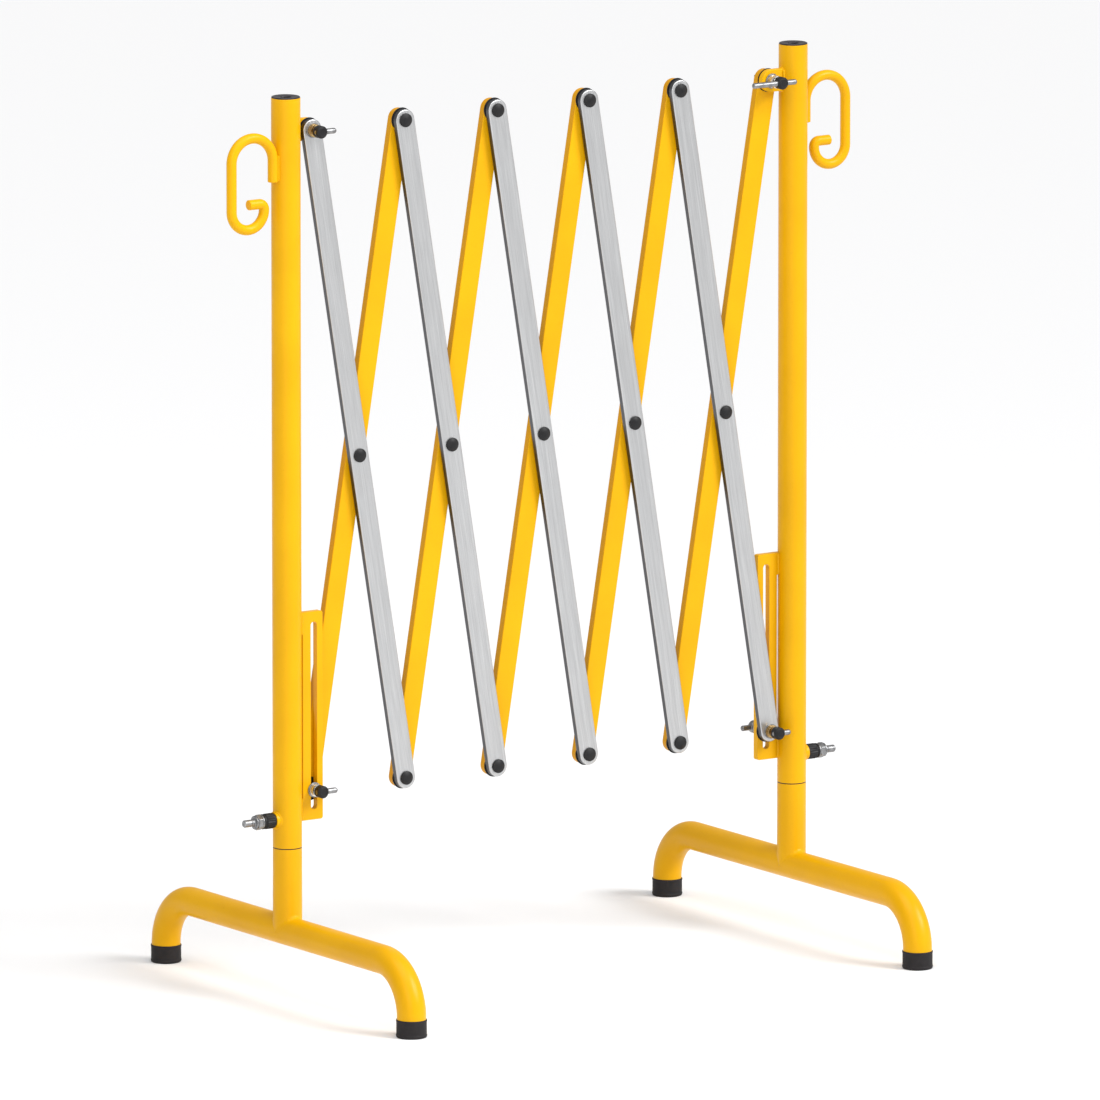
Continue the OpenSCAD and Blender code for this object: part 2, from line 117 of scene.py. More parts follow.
def ramped(nodes, links, value, stops):
    ramp = nodes.new("ShaderNodeValToRGB")
    ramp.color_ramp.elements[0].position = stops[0][0]
    ramp.color_ramp.elements[0].color = (*stops[0][1], 1)
    ramp.color_ramp.elements[1].position = stops[-1][0]
    ramp.color_ramp.elements[1].color = (*stops[-1][1], 1)
    for position, colour in stops[1:-1]:
        ramp.color_ramp.elements.new(position).color = (*colour, 1)
    links.new(value, ramp.inputs["Fac"])
    return ramp.outputs["Color"]


def ranged(nodes, links, value, low, high, fromLow=0.3, fromHigh=0.7):
    spread = nodes.new("ShaderNodeMapRange")
    spread.inputs["From Min"].default_value = fromLow
    spread.inputs["From Max"].default_value = fromHigh
    spread.inputs["To Min"].default_value = low
    spread.inputs["To Max"].default_value = high
    links.new(value, spread.inputs["Value"])
    return spread.outputs["Result"]


def mixed(nodes, links, share, first, second, blend="MIX"):
    mix = nodes.new("ShaderNodeMix")
    mix.data_type = "RGBA"
    mix.blend_type = blend
    for socket, value in (("Factor", share), ("A", first), ("B", second)):
        slot = next(s for s in mix.inputs if s.name == socket and (s.type == "RGBA") == (socket != "Factor"))
        if isinstance(value, (int, float)):
            slot.default_value = value
        elif isinstance(value, tuple):
            slot.default_value = (*value, 1)
        else:
            links.new(value, slot)
    return next(s for s in mix.outputs if s.type == "RGBA")


def bumpFrom(nodes, links, heights, shader, strength, depth):
    bump = nodes.new("ShaderNodeBump")
    bump.inputs["Strength"].default_value = strength
    bump.inputs["Distance"].default_value = depth
    links.new(heights, bump.inputs["Height"])
    links.new(bump.outputs["Normal"], shader.inputs["Normal"])


def facingShare(nodes, links, low, high):
    # how squarely a surface faces the front or the back
    normal = nodes.new("ShaderNodeTexCoord")
    split = nodes.new("ShaderNodeSeparateXYZ")
    links.new(normal.outputs["Normal"], split.inputs["Vector"])
    size = nodes.new("ShaderNodeMath")
    size.operation = "ABSOLUTE"
    links.new(split.outputs["Y"], size.inputs[0])
    return ranged(nodes, links, size.outputs["Value"], 0, 1, low, high)


def paintSideShade(nodes, links, colour, sideShade, low, high):
    # paints shade on a bar's narrow sides by darkening their colour, and leaves its front and back as they
    # are
    squarely = facingShare(nodes, links, low, high)
    shadedColour = mixed(nodes, links, 1.0, colour, sideShade, "MULTIPLY")
    return mixed(nodes, links, squarely, shadedColour, colour)


def paintMaterial(name, look):
    material, nodes, links, shader = newMaterial(name, look["sockets"])
    coords = grainCoords(nodes, links)
    drift = noiseOn(nodes, links, coords, look["driftScale"], 3)
    peel = noiseOn(nodes, links, coords, look["peelScale"], 2)
    colour = ramped(nodes, links, drift, [(0.35, look["deep"]), (0.65, look["bright"])])
    fleck = noiseOn(nodes, links, coords, look["speckScale"], 1)
    speck = ranged(nodes, links, fleck, 0, look["speck"], 0.62, 0.8)
    colour = mixed(nodes, links, speck, colour, look["speckColour"])
    # painted shade: the narrow sides of a bar are given a darker colour
    if "sides" in look:
        colour = paintSideShade(nodes, links, colour, look["sides"], 0.3, 0.8)
    links.new(colour, shader.inputs["Base Color"])
    rough = noiseOn(nodes, links, coords, look["roughScale"], 3)
    links.new(ranged(nodes, links, rough, *look["roughness"]), shader.inputs["Roughness"])
    bumpFrom(nodes, links, peel, shader, look["peel"], 0.0004)
    return material


def brushedMaterial(name, look):
    material, nodes, links, shader = newMaterial(name, look["sockets"])
    lean = (0, -barTilt, 0)
    fine = noiseOn(nodes, links, grainCoords(nodes, links, look["grain"], lean), 1, 3, 0.6)
    wide = noiseOn(nodes, links, grainCoords(nodes, links, look["wideGrain"], lean), 1, 2)
    colour = ramped(nodes, links, fine, [(0.3, look["dark"]), (0.5, look["middle"]), (0.7, look["light"])])
    colour = mixed(nodes, links, ranged(nodes, links, wide, 0, look["cloud"]), colour, look["dark"])
    # painted shade: the narrow sides of a bar are given a darker colour
    colour = paintSideShade(nodes, links, colour, look["sides"], 0.15, 0.75)
    links.new(colour, shader.inputs["Base Color"])
    links.new(ranged(nodes, links, fine, *look["roughness"]), shader.inputs["Roughness"])
    bumpFrom(nodes, links, fine, shader, look["scratch"], 0.00015)
    return material


def steelMaterial(name, look):
    material, nodes, links, shader = newMaterial(name, look["sockets"])
    coords = grainCoords(nodes, links)
    cloud = noiseOn(nodes, links, coords, look["cloudScale"], 3)
    fleck = noiseOn(nodes, links, coords, look["fleckScale"], 2)
    colour = ramped(nodes, links, cloud, [(0.3, look["dark"]), (0.7, look["light"])])
    links.new(colour, shader.inputs["Base Color"])
    links.new(ranged(nodes, links, fleck, *look["roughness"]), shader.inputs["Roughness"])
    bumpFrom(nodes, links, fleck, shader, look["grain"], 0.0001)
    return material


def plasticMaterial(name, look):
    material, nodes, links, shader = newMaterial(name, look["sockets"])
    coords = grainCoords(nodes, links)
    cloud = noiseOn(nodes, links, coords, look["cloudScale"], 3)
    grain = noiseOn(nodes, links, coords, look["grainScale"], 2)
    colour = ramped(nodes, links, cloud, [(0.3, look["dark"]), (0.7, look["light"])])
    dust = ranged(nodes, links, grain, 0, look["dust"], 0.5, 0.75)
    links.new(mixed(nodes, links, dust, colour, look["dustColour"]), shader.inputs["Base Color"])
    links.new(ranged(nodes, links, cloud, *look["roughness"]), shader.inputs["Roughness"])
    bumpFrom(nodes, links, grain, shader, look["grain"], 0.0002)
    return material


yellowPaint = {
    "sockets": {"Coat Weight": 0.02, "Coat Roughness": 0.12, "Specular IOR Level": 0.16},
    "deep": (0.7, 0.355, 0.0), "bright": (0.76, 0.395, 0.0),
    "speckColour": (0.58, 0.29, 0.001), "speck": 0.25,
    "driftScale": 9, "speckScale": 420, "peelScale": 620, "roughScale": 35,
    "roughness": (0.3, 0.42), "peel": 0.1,
}
# sides is a painted shade colour that darkens the yellow bars' narrow sides
yellowBarPaint = dict(yellowPaint, sides=(0.82, 0.74, 1.0), roughness=(0.38, 0.48), peel=0.12)
brushedAluminium = {
    "sockets": {"Metallic": 1.0, "Specular IOR Level": 0.5},
    "grain": (0.00022, 0.00022, 0.05), "wideGrain": (0.004, 0.004, 0.4),
    "dark": (0.42, 0.424, 0.43), "middle": (0.58, 0.585, 0.59), "light": (0.73, 0.735, 0.74),
    # sides is a painted shade colour that darkens the aluminium bars' narrow sides
    "cloud": 0.4, "sides": (0.2, 0.2, 0.21), "roughness": (0.3, 0.46), "scratch": 0.18,
}
zincSteel = {
    "sockets": {"Metallic": 1.0},
    "dark": (0.2, 0.2, 0.205), "light": (0.36, 0.365, 0.37),
    "cloudScale": 160, "fleckScale": 1400, "roughness": (0.36, 0.5), "grain": 0.12,
}
collarZinc = dict(zincSteel, dark=(0.55, 0.54, 0.5), light=(0.84, 0.83, 0.79), roughness=(0.16, 0.3))
# a golden-brown colour for the collars of two clamp screws
collarGoldToned = dict(zincSteel, dark=(0.34, 0.21, 0.07), light=(0.58, 0.4, 0.16), roughness=(0.2, 0.34))
mattBlack = {
    "sockets": {"Specular IOR Level": 0.28},
    "dark": (0.006, 0.006, 0.007), "light": (0.013, 0.013, 0.014),
    "cloudScale": 120, "grainScale": 2600, "dust": 0.08, "dustColour": (0.06, 0.06, 0.06),
    "roughness": (0.42, 0.58), "grain": 0.25,
}
washerBlack = dict(mattBlack, roughness=(0.34, 0.46), grain=0.1)
plugBlack = dict(
    mattBlack, dark=(0.012, 0.01, 0.013), light=(0.026, 0.022, 0.029),
    roughness=(0.34, 0.46), grain=0.08,
)
footRubber = dict(
    mattBlack, dark=(0.009, 0.0075, 0.008), light=(0.019, 0.016, 0.017),
    grainScale=1500, roughness=(0.55, 0.72), grain=0.3, dust=0.1,
)

framePaint = paintMaterial("yellow frame paint", yellowPaint)
barPaint = paintMaterial("yellow bar paint", yellowBarPaint)
barAluminium = brushedMaterial("brushed bar aluminium", brushedAluminium)
plainSteel = steelMaterial("zinc steel", zincSteel)
brightCollar = steelMaterial("bright collar zinc", collarZinc)
goldenCollar = steelMaterial("gold-toned collar zinc", collarGoldToned)
blackPlastic = plasticMaterial("matt black plastic", mattBlack)
blackWasher = plasticMaterial("black washer plastic", washerBlack)
plugPlastic = plasticMaterial("post plug plastic", plugBlack)
capRubber = plasticMaterial("foot cap rubber", footRubber)
print("materials made")


# Shapes that the pieces share
mergeWithin = 0.002


def finishPiece(name, bm, body, nodes, material, sharpFrom=34):
    bmesh.ops.remove_doubles(bm, verts=bm.verts, dist=mergeWithin)
    bmesh.ops.recalc_face_normals(bm, faces=bm.faces)
    bmesh.ops.scale(bm, vec=(0.001, 0.001, 0.001), verts=bm.verts)
    mesh = bpy.data.meshes.new(name)
    bm.to_mesh(mesh)
    bm.free()
    for polygon in mesh.polygons:
        polygon.use_smooth = True
    mesh.set_sharp_from_angle(angle=math.radians(sharpFrom))
    mesh.materials.append(material)
    piece = bpy.data.objects.new(name, mesh)
    bpy.context.scene.collection.objects.link(piece)
    flat = piece.modifiers.new("even flat faces", "WEIGHTED_NORMAL")
    flat.keep_sharp = True
    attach(piece, body)
    if nodes:
        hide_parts(*nodes)


def addPart(bm, part, place):
    part.transform(place)
    scratch = bpy.data.meshes.new("scratch")
    part.to_mesh(scratch)
    part.free()
    bm.from_mesh(scratch)
    bpy.data.meshes.remove(scratch)


def pointing(direction, x, y, z):
    # puts a part drawn along +Z at a point, turned to run along direction
    return Matrix.Translation((x, y, z)) @ Vector(direction).to_track_quat("Z", "Y").to_matrix().to_4x4()


def eased(profile, size, closed=False, steps=3):
    # rounds the corners of a turned outline
    points = [Vector(p) for p in profile]
    done = []
    for i, here in enumerate(points):
        if not closed and i in (0, len(points) - 1):
            done.append(tuple(here))
            continue
        back = points[i - 1] - here
        on = points[(i + 1) % len(points)] - here
        cut = min(size, back.length * 0.45, on.length * 0.45)
        if back.angle(-on, 0) < math.radians(15):
            done.append(tuple(here))
            continue
        first, last = here + back.normalized() * cut, here + on.normalized() * cut
        for n in range(steps + 1):
            t = n / steps
            done.append(tuple(first * (1 - t) ** 2 + here * 2 * t * (1 - t) + last * t * t))
    return done


def turned(bm, profile, place, closed=False, steps=64, flutes=None):
    # spins an outline of (radius, height) points; flutes = (low, high, depth) cuts a grip into its rim
    part = bmesh.new()
    verts = [part.verts.new((r, 0, h)) for r, h in profile]
    edges = [part.edges.new(pair) for pair in zip(verts, verts[1:])]
    if closed:
        edges.append(part.edges.new((verts[-1], verts[0])))
    bmesh.ops.spin(
        part, geom=verts + edges, cent=(0, 0, 0), axis=(0, 0, 1), angle=math.tau, steps=steps, use_merge=True
    )
    bmesh.ops.remove_doubles(part, verts=part.verts, dist=mergeWithin)
    if flutes:
        low, high, depth = flutes
        rim = max(r for r, h in profile if low <= h <= high)
        for v in part.verts:
            radius = math.hypot(v.co.x, v.co.y)
            turn = round(math.atan2(v.co.y, v.co.x) / (math.tau / steps))
            if low <= v.co.z <= high and radius > rim - 0.05 and turn % 2:
                bmesh.ops.scale(part, vec=(1 - depth / rim, 1 - depth / rim, 1), verts=[v])
    addPart(bm, part, place)


def softenEdges(bm, width, sharpFrom=50, segments=3):
    sharp = [e for e in bm.edges if len(e.link_faces) == 2 and e.calc_face_angle(0) > math.radians(sharpFrom)]
    bmesh.ops.bevel(
        bm, geom=sharp, offset=width, offset_type="OFFSET", affect="EDGES",
        segments=segments, profile=0.5, material=-1, clamp_overlap=True,
    )


def arcOf(x, z, radius, start, end, count):
    turns = [math.radians(start + (end - start) * i / count) for i in range(count + 1)]
    return [(x + radius * math.cos(a), z + radius * math.sin(a)) for a in turns]


def holeAt(x, z, radius, count=32):
    return arcOf(x, z, radius, 0, 360, count)[:-1]


def flatPlate(bm, outline, holes, front, back, soft, place=None):
    # fills an outline drawn in X and Z, leaving its holes open, and thickens it along Y
    part = bmesh.new()
    edges = []
    for loop in [outline] + holes:
        verts = [part.verts.new((x, front, z)) for x, z in loop]
        edges += [part.edges.new((verts[i - 1], verts[i])) for i in range(len(verts))]
    bmesh.ops.triangle_fill(part, use_beauty=True, use_dissolve=False, edges=edges, normal=(0, -1, 0))
    made = bmesh.ops.extrude_face_region(part, geom=part.faces[:])
    moved = [g for g in made["geom"] if isinstance(g, bmesh.types.BMVert)]
    bmesh.ops.translate(part, vec=(0, back - front, 0), verts=moved)
    bmesh.ops.recalc_face_normals(part, faces=part.faces)
    softenEdges(part, soft)
    addPart(bm, part, place or Matrix.Identity(4))


def startRun(bm, radius, direction, point, sides=48):
    made = bmesh.ops.create_circle(
        bm, cap_ends=True, radius=radius, segments=sides, matrix=pointing(direction, *point)
    )
    return made["verts"][0].link_faces[0]


def straightRun(bm, face, step):
    made = bmesh.ops.extrude_face_region(bm, geom=[face])
    moved = [g for g in made["geom"] if isinstance(g, bmesh.types.BMVert)]
    bmesh.ops.translate(bm, vec=step, verts=moved)
    return next(g for g in made["geom"] if isinstance(g, bmesh.types.BMFace))


def bentRun(bm, face, centre, axis, degrees, steps):
    made = bmesh.ops.spin(
        bm, geom=[face, *face.edges, *face.verts], cent=centre, axis=axis,
        angle=math.radians(degrees), steps=steps,
    )
    return next(g for g in made["geom_last"] if isinstance(g, bmesh.types.BMFace))


weldLook = {"ripple": 1.8, "wave": 0.12, "sides": 16, "quarter": (30, 60)}
weldSink = 0.4  # how deep a welded edge sits in what it is welded to


def weldBead(bm, start, end, radius):
    # a rippled run of weld, half sunk between two parts
    along = Vector(end) - Vector(start)
    length = along.length
    count = max(6, round(length / weldLook["ripple"]) * 4)
    turns = [math.radians(a) for a in weldLook["quarter"]]
    profile = [(0, -radius)]
    profile += [(radius * math.sin(a), -radius * math.cos(a)) for a in turns]
    for i in range(count + 1):
        swell = 1 + weldLook["wave"] * (abs(math.sin(math.pi * i / 4)) - 0.5)
        profile.append((radius * swell, length * i / count))
    profile += [(radius * math.cos(a), length + radius * math.sin(a)) for a in turns]
    profile.append((0, length + radius))
    turned(bm, profile, pointing(along, *start), steps=weldLook["sides"])


# Posts: steel tube with the welded boss of the foot lock
postTube = {
    "radius": 16.85, "wall": 2.6, "seamEase": 0.8, "topEase": 0.4,
    "bossRadius": 9.5, "bossHeight": 2.6, "pinRadius": 3.55, "weld": 1.6,
}
tubeRadius = postTube["radius"]
boreRadius = tubeRadius - postTube["wall"]


def makePostTube(side):
    bm = bmesh.new()
    ease, top = postTube["seamEase"], postTube["topEase"]
    wall = [
        (boreRadius, seamZ), (tubeRadius - ease, seamZ), (tubeRadius, seamZ + ease),
        (tubeRadius, tubeTopZ - top), (tubeRadius - top, tubeTopZ), (boreRadius, tubeTopZ),
    ]
    turned(bm, wall, Matrix.Identity(4), closed=True, steps=96)
    bossX = tubeRadius + postTube["bossHeight"]
    outer, inner = postTube["bossRadius"], postTube["pinRadius"]
    boss = [(inner, 2), (outer, 2), (outer, bossX), (inner, bossX)]
    turned(bm, eased(boss, 0.5, closed=True), pointing((-1, 0, 0), 0, 0, lockZ), closed=True, steps=48)
    addBossWeld(bm, outer)
    bm.transform(postPlaces[side])
    finishPiece(f"{side}PostTube", bm, f"{side}_post", [f"{side}_post_tube"], framePaint)


def addBossWeld(bm, bossRadius):
    # a small ring of weld that follows the tube's surface round the boss
    part = bmesh.new()
    size = postTube["weld"]
    turns = [math.tau * i / 10 for i in range(10)]
    ring = [(bossRadius + size * math.cos(a), size * math.sin(a)) for a in turns]
    turned(part, ring, Matrix.Identity(4), closed=True, steps=48)
    for v in part.verts:
        v.co.z += math.sqrt(max(1, tubeRadius ** 2 - v.co.x ** 2)) - weldSink
    # the tube's own axis is upright, so the ring's X is turned to lie across the tube
    addPart(bm, part, Matrix.Translation((0, 0, lockZ)) @ Matrix.Rotation(math.radians(-90), 4, "Y")
            @ Matrix.Rotation(math.radians(90), 4, "Z"))


postPlug = {"flange": 16.55, "thick": 1.5, "depth": 14, "hole": 6, "dish": 0.7}


def makePostPlug(side):
    bm = bmesh.new()
    flange, thick, hole = postPlug["flange"], postPlug["thick"], postPlug["hole"]
    outline = [
        (hole, -postPlug["depth"]), (boreRadius - 0.05, -postPlug["depth"]), (boreRadius - 0.05, 0),
        (flange, 0), (flange, thick * 0.6), (flange - 0.8, thick), (flange - 3, thick),
        (hole + 2.2, thick - postPlug["dish"]), (hole + 0.8, thick - postPlug["dish"]), (hole, -0.4),
    ]
    turned(bm, eased(outline, 0.4, closed=True), Matrix.Translation((0, 0, tubeTopZ)), closed=True, steps=72)
    bm.transform(postPlaces[side])
    finishPiece(f"{side}PostPlug", bm, f"{side}_post", [f"{side}_post_plug"], plugPlastic)


# Lugs and slot guides, cut from flat bar and welded to the posts
topLug = {"radius": 13, "hole": 4.05, "soft": 0.9, "intoTube": 13, "weld": 1.9}
slotGuide = {
    "gap": 1.5, "out": 12, "slotRadius": 4.3, "edge": 12,
    "weldLength": 26, "soft": 0.8, "weld": 1.8, "corner": 2.8,
}


def tubeReach(y):
    return math.sqrt(tubeRadius ** 2 - y ** 2)


def copeToTube(bm, inner):
    # slides a plate's welded edge up to the curve of the tube
    for v in bm.verts:
        if v.co.x < inner + 1.5:
            v.co.x += tubeReach(v.co.y) - weldSink - inner


def weldFaces(bm, layer, lowZ, highZ, size):
    # beads down the front and back of a plate where it meets the tube
    for y, push in ((layer[0], -weldSink), (layer[1], weldSink)):
        reach = tubeReach(y) + 0.5
        weldBead(bm, (reach, y + push, lowZ + size), (reach, y + push, highZ - size), size)


def makeTopLug(side):
    bm = bmesh.new()
    radius, inner, layer = topLug["radius"], topLug["intoTube"], plateLayers[f"{side}_top_lug"]
    outline = [(inner, topZ - radius)] + arcOf(pivotOff, topZ, radius, -90, 90, 28) + [(inner, topZ + radius)]
    flatPlate(bm, outline, [holeAt(pivotOff, topZ, topLug["hole"])], *layer, topLug["soft"])
    copeToTube(bm, inner)
    weldFaces(bm, layer, topZ - radius + 1, topZ + radius - 1, topLug["weld"])
    y0, y1 = layer[0] + 2, layer[1] - 2
    for z in (topZ - radius, topZ + radius):
        weldBead(bm, (tubeReach(y0) + 0.2, y0, z), (tubeReach(y1) + 0.2, y1, z), topLug["weld"] * 0.9)
    bm.transform(postPlaces[side])
    finishPiece(f"{side}TopLug", bm, f"{side}_post", [f"{side}_top_lug"], framePaint)


def makeSlotGuide(side):
    bm = bmesh.new()
    low, high = boxOf(f"{side}_slot_guide")
    layer, corner = plateLayers[f"{side}_slot_guide"], slotGuide["corner"]
    inner, innerEdge = topLug["intoTube"], tubeRadius + slotGuide["gap"]
    outerEdge, weld = pivotOff + slotGuide["out"], slotGuide["weldLength"]
    outline = [(inner, low.z)] + arcOf(outerEdge - corner, low.z + corner, corner, -90, 0, 6)
    outline += arcOf(outerEdge - corner, high.z - corner, corner, 0, 90, 6)
    outline += [
        (inner, high.z), (inner, high.z - weld), (innerEdge, high.z - weld), (innerEdge, low.z + weld),
        (inner, low.z + weld),
    ]
    r = slotGuide["slotRadius"]
    slotLow, slotHigh = low.z + slotGuide["edge"] + r, high.z - slotGuide["edge"] - r
    slotHole = arcOf(pivotOff, slotHigh, r, 0, 180, 16) + arcOf(pivotOff, slotLow, r, 180, 360, 16)
    flatPlate(bm, outline, [slotHole], *layer, slotGuide["soft"])
    copeToTube(bm, inner)
    for z0, z1 in ((low.z, low.z + weld), (high.z - weld, high.z)):
        weldFaces(bm, layer, z0 + 0.5, z1 - 0.5, slotGuide["weld"])
    bm.transform(postPlaces[side])
    finishPiece(f"{side}SlotGuide", bm, f"{side}_post", [f"{side}_slot_guide"], framePaint)


# Hooks: one round bar, bent three times, with its leg welded to the post
linkHook = {
    "bar": 5.9, "topRadius": 28, "lowRadius": 22, "curlRadius": 6.6,
    "tip": 15, "leg": 25, "soft": 1.2, "weld": 1.3, "touch": 0.05,
}


def makeHook(side):
    low, high = boxOf(f"{side}_hook")
    y = (low.y + high.y) / 2
    bar, top, bottom, curl = (linkHook[key] for key in ("bar", "topRadius", "lowRadius", "curlRadius"))
    legX = -math.sqrt((tubeRadius + bar + linkHook["touch"]) ** 2 - y ** 2)
    archZ = high.z - bar - top
    bendZ = low.z + bar + bottom
    bm = bmesh.new()
    end = startRun(bm, bar, (0, 0, 1), (legX, y, archZ - linkHook["leg"]))
    end = straightRun(bm, end, (0, 0, linkHook["leg"]))
    end = bentRun(bm, end, (legX - top, y, archZ), (0, -1, 0), 180, 36)
    end = straightRun(bm, end, (0, 0, bendZ - archZ))
    outX = legX - 2 * top
    end = bentRun(bm, end, (outX + bottom, y, bendZ), (0, -1, 0), 180, 32)
    end = bentRun(bm, end, (outX + 2 * bottom - curl, y, bendZ), (0, -1, 0), 90, 14)
    straightRun(bm, end, (-linkHook["tip"], 0, 0))
    bmesh.ops.recalc_face_normals(bm, faces=bm.faces)
    softenEdges(bm, linkHook["soft"], 60)
    along = math.atan2(y, legX)
    for turn in (-12, 12):
        a = along + math.radians(turn)
        x0, y0 = (tubeRadius + 0.6) * math.cos(a), (tubeRadius + 0.6) * math.sin(a)
        base = archZ - linkHook["leg"]
        weldBead(bm, (x0, y0, base + 2), (x0, y0, archZ + 4), linkHook["weld"])
    bm.transform(postPlaces[side])
    finishPiece(f"{side}Hook", bm, f"{side}_post", [f"{side}_hook"], framePaint)


# Feet: a stem with its swivel spigot, coped and welded onto the bent foot tube
footTube = {"radius": tubeRadius, "bend": 58, "base": 4, "sides": 64}
footStem = {
    "spigot": 14.15, "spigotUp": 60, "spigotDown": 40, "bore": 8,
    "grooveDepth": 3, "grooveHalf": 3.8, "fillet": 6.5, "wave": 0.25,
}
footAxisZ = footHigh.z - footTube["radius"]
legY = footHigh.y - footTube["radius"]


def footTopAt(x):
    return footAxisZ + math.sqrt(max(0, footTube["radius"] ** 2 - x ** 2))


def makeFootStem(side):
    bm = bmesh.new()
    ease, spigot, bore = postTube["seamEase"], footStem["spigot"], footStem["bore"]
    top, under = seamZ + footStem["spigotUp"], seamZ - footStem["spigotDown"]
    face = seamZ - runningGap
    wall = [
        (boreRadius, footAxisZ), (tubeRadius, footAxisZ), (tubeRadius, seamZ - ease),
        (tubeRadius - ease, face), (spigot, face),
        (spigot, lockZ - footStem["grooveHalf"]), (spigot, lockZ + footStem["grooveHalf"]),
        (spigot, top - 1), (spigot - 1, top), (bore, top), (bore, under), (boreRadius, under),
    ]
    turned(bm, wall, Matrix.Identity(4), closed=True, steps=96)
    for v in bm.verts:
        if v.co.z < footAxisZ + 1:
            v.co.z = footTopAt(v.co.x) - weldSink
    cutLockGroove(bm)
    addStemFillet(bm)
    bm.transform(postPlaces[side])
    finishPiece(f"{side}FootStem", bm, f"{side}_foot", [f"{side}_foot_stem"], framePaint)


def cutLockGroove(bm):
    # a quarter turn of the spigot is sunk, so that the lock pin's tip can run in it
    half, spigot, depth = footStem["grooveHalf"], footStem["spigot"], footStem["grooveDepth"]
    band = []
    for face in bm.faces:
        centre = face.calc_center_median()
        turn = math.degrees(math.atan2(centre.y, centre.x)) % 360
        if abs(centre.z - lockZ) < half - 0.1 and abs(centre.xy.length - spigot) < 0.2 and 70 < turn < 200:
            band.append(face)
    made = bmesh.ops.extrude_face_region(bm, geom=band)
    sunk = [g for g in made["geom"] if isinstance(g, bmesh.types.BMVert)]
    share = 1 - depth / spigot
    bmesh.ops.scale(bm, vec=(share, share, 1), verts=sunk)


def addStemFillet(bm):
    # weld between stem and foot: full in front and behind, and fading out at the sides
    part = bmesh.new()
    size = footStem["fillet"]
    hollow = [(size * (1 - math.sin(math.radians(a))), size * (1 - math.cos(math.radians(a))))
              for a in range(0, 91, 15)]
    outline = [(tubeRadius - 1.2, 0)] + [(tubeRadius - 0.3 + out, up) for out, up in hollow]
    outline += [(tubeRadius - 1.2, size)]
    turned(part, outline, Matrix.Identity(4), closed=True, steps=96)
    for v in part.verts:
        turn = math.atan2(v.co.y, v.co.x)
        share = max(0.06, abs(math.sin(turn)) ** 1.3)
        radius = tubeRadius - 0.3 + (v.co.xy.length - tubeRadius + 0.3) * share
        if v.co.xy.length < tubeRadius - 0.6:
            radius = v.co.xy.length
        ripple = footStem["wave"] * math.sin(turn * 26) * (0.3 < v.co.z < size - 0.3)
        height = v.co.z * share - 0.5
        v.co.x, v.co.y = (radius + ripple) * math.cos(turn), (radius + ripple) * math.sin(turn)
        v.co.z = footTopAt(v.co.x) + height
    addPart(bm, part, Matrix.Identity(4))


# sizes of the black ring that paints the shade in the seam's groove
seamShadeRing = {"floor": 16.08, "rim": 16.62, "half": 0.54}


def makeSeamShadeRing(side):
    # painted shade: a black ring in the groove between post and foot draws the groove's shade as a dark line,
    # with no CAD part behind it
    bm = bmesh.new()
    floor, rim, half = seamShadeRing["floor"], seamShadeRing["rim"], seamShadeRing["half"]
    outline = [(floor, 0), (rim, -half), (rim, half)]
    turned(bm, outline, Matrix.Translation((0, 0, seamZ)), closed=True, steps=96)
    bm.transform(postPlaces[side])
    finishPiece(f"{side}SeamShadeRing", bm, f"{side}_foot", [], blackWasher)


def makeFootBar(side):
    bm = bmesh.new()
    radius, bendSize, base = footTube["radius"], footTube["bend"], footTube["base"]
    straight = legY - bendSize
    end = startRun(bm, radius, (0, 0, 1), (0, -legY, base), footTube["sides"])
    end = straightRun(bm, end, (0, 0, footAxisZ - bendSize - base))
    end = bentRun(bm, end, (0, -straight, footAxisZ - bendSize), (-1, 0, 0), 90, 24)
    end = straightRun(bm, end, (0, 2 * straight, 0))
    end = bentRun(bm, end, (0, straight, footAxisZ - bendSize), (-1, 0, 0), 90, 24)
    straightRun(bm, end, (0, 0, base - footAxisZ + bendSize))
    bmesh.ops.recalc_face_normals(bm, faces=bm.faces)
    softenEdges(bm, 0.5, 60)
    bm.transform(postPlaces[side])
    finishPiece(f"{side}FootBar", bm, f"{side}_foot", [f"{side}_foot_bar"], framePaint)


footCap = {"height": 21, "body": 17.5, "lip": 17.85, "seat": 4, "bore": 16.9, "treads": 3}


def makeFootCaps(side):
    bm = bmesh.new()
    height, body, lip = footCap["height"], footCap["body"], footCap["lip"]
    outline = [(0, 0.8), (3, 0.8)]
    step = (lip - 6) / (footCap["treads"] + 1)
    for i in range(footCap["treads"]):
        r = 4 + i * step
        outline += [(r, 0), (r + step * 0.6, 0), (r + step * 0.7, 0.8), (r + step * 0.9, 0.8)]
    outline += [
        (4 + footCap["treads"] * step, 0), (lip - 1.6, 0), (lip - 0.5, 0.6),
        (lip, 1.8), (lip, 3.4), (body, 4),
        (body, height - 2.8), (lip, height - 2.3), (lip, height - 0.7), (lip - 0.6, height),
        (footCap["bore"], height - 0.3), (footCap["bore"], footCap["seat"]), (0, footCap["seat"]),
    ]
    for y in (-legY, legY):
        turned(bm, eased(outline, 0.5), Matrix.Translation((0, y, 0)), steps=72)
    bm.transform(postPlaces[side])
    finishPiece(f"{side}FootCaps", bm, f"{side}_foot", [f"{side}_foot_caps"], capRubber)


# Foot locks: a ribbed sleeve on the post's boss and a sprung pin with a pull stud
lockSleeve = {
    "radius": 9, "length": 16, "chamber": 6.2, "endWall": 2, "ribDepth": 0.55, "pin": postTube["pinRadius"],
}
lockPin = {
    "pin": 3.5, "collar": 5.9, "collarLength": 2, "hexWidth": 18, "hexLength": 8,
    "flange": 8, "flangeLength": 2.2, "stud": 4.3, "studLength": 14.5, "grooveGap": 0.3,
    "washer": 8.2, "washerLength": 1.6,
}
bossFaceX = tubeRadius + postTube["bossHeight"]
sleeveEndX = bossFaceX + lockSleeve["length"]


def outward(x=0):
    return pointing((-1, 0, 0), -x, 0, lockZ)


